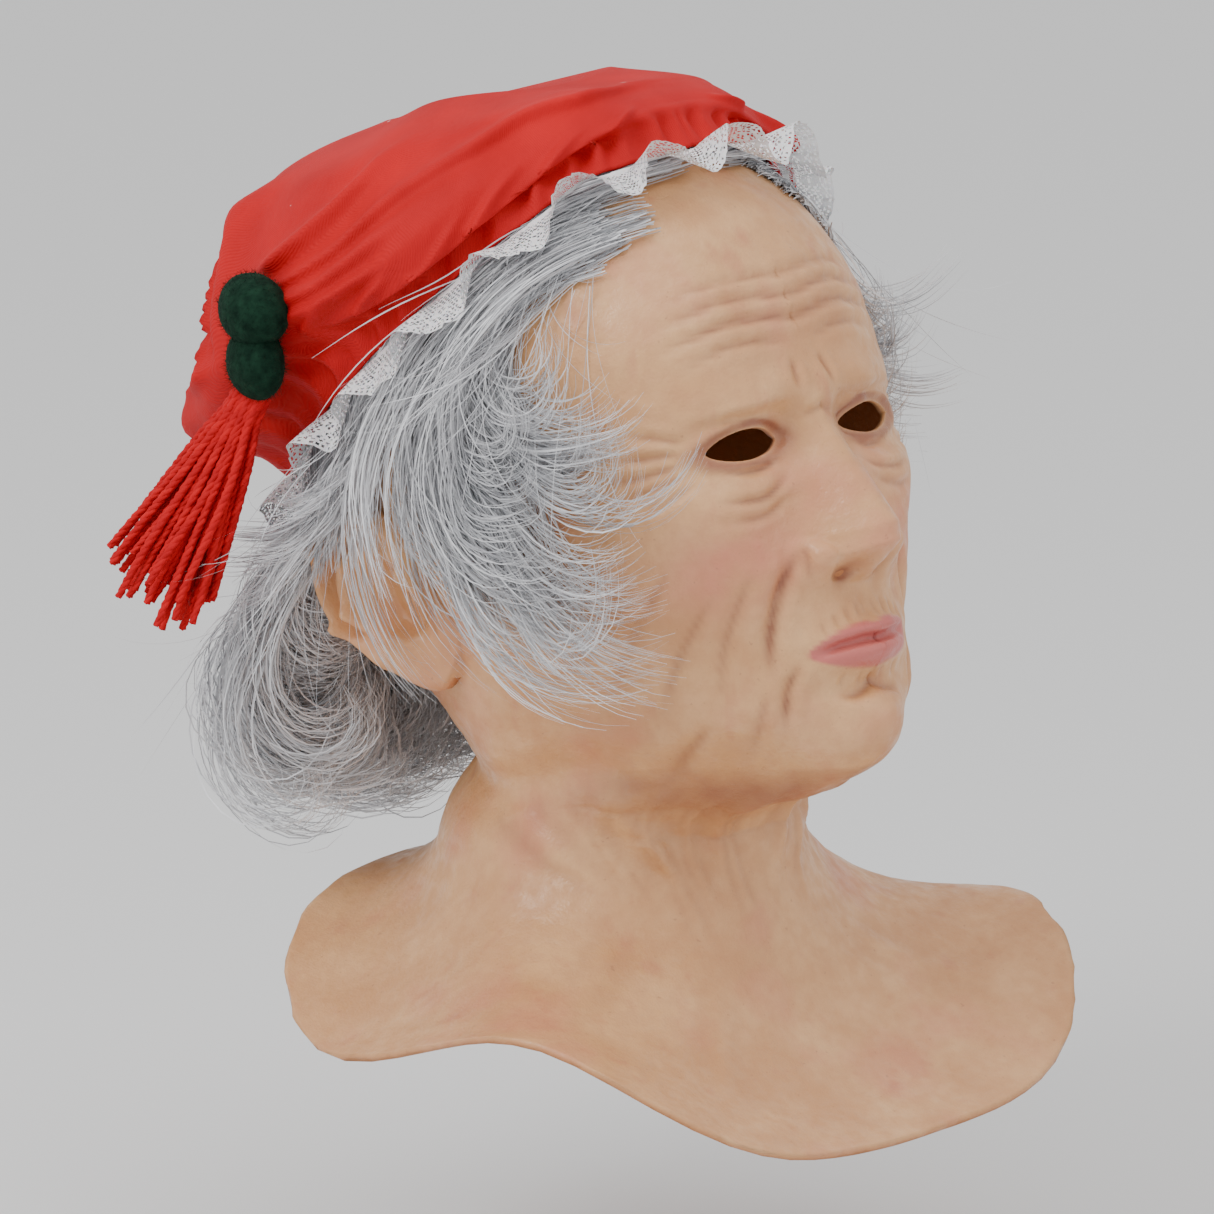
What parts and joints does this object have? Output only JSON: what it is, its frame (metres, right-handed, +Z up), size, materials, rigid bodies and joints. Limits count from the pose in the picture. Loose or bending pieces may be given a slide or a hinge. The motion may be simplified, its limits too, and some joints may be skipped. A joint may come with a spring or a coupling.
{
  "type": "old woman costume mask",
  "caption": "Full-head latex mask of an old woman with eye holes, ears and chest bib, a curly grey wig, a puffed red cap with a lace ruffle, and a yarn tassel.",
  "frame": {"origin": "the inside of the crown, where the top of the wearer's head holds the mask up", "axes": "+Z up, out through the crown; the face looks along -Y; +X is the wearer's left"},
  "size_m": [0.2849, 0.3226, 0.3668],
  "materials": {
    "latex_skin": "painted latex, satin",
    "grey_hair": "synthetic hair, silver grey",
    "red_cloth": "brushed cotton cloth",
    "white_lace": "net lace",
    "green_felt": "fuzzy felt",
    "red_yarn": "wool yarn"
  },
  "bodies": {
    "root": {"mask_skin": "latex_skin", "grey_wig": "grey_hair", "red_cap": "red_cloth", "lace_ruffle": "white_lace", "felt_knot": "green_felt", "yarn_tassel": "red_yarn"}
  },
  "joints": []
}
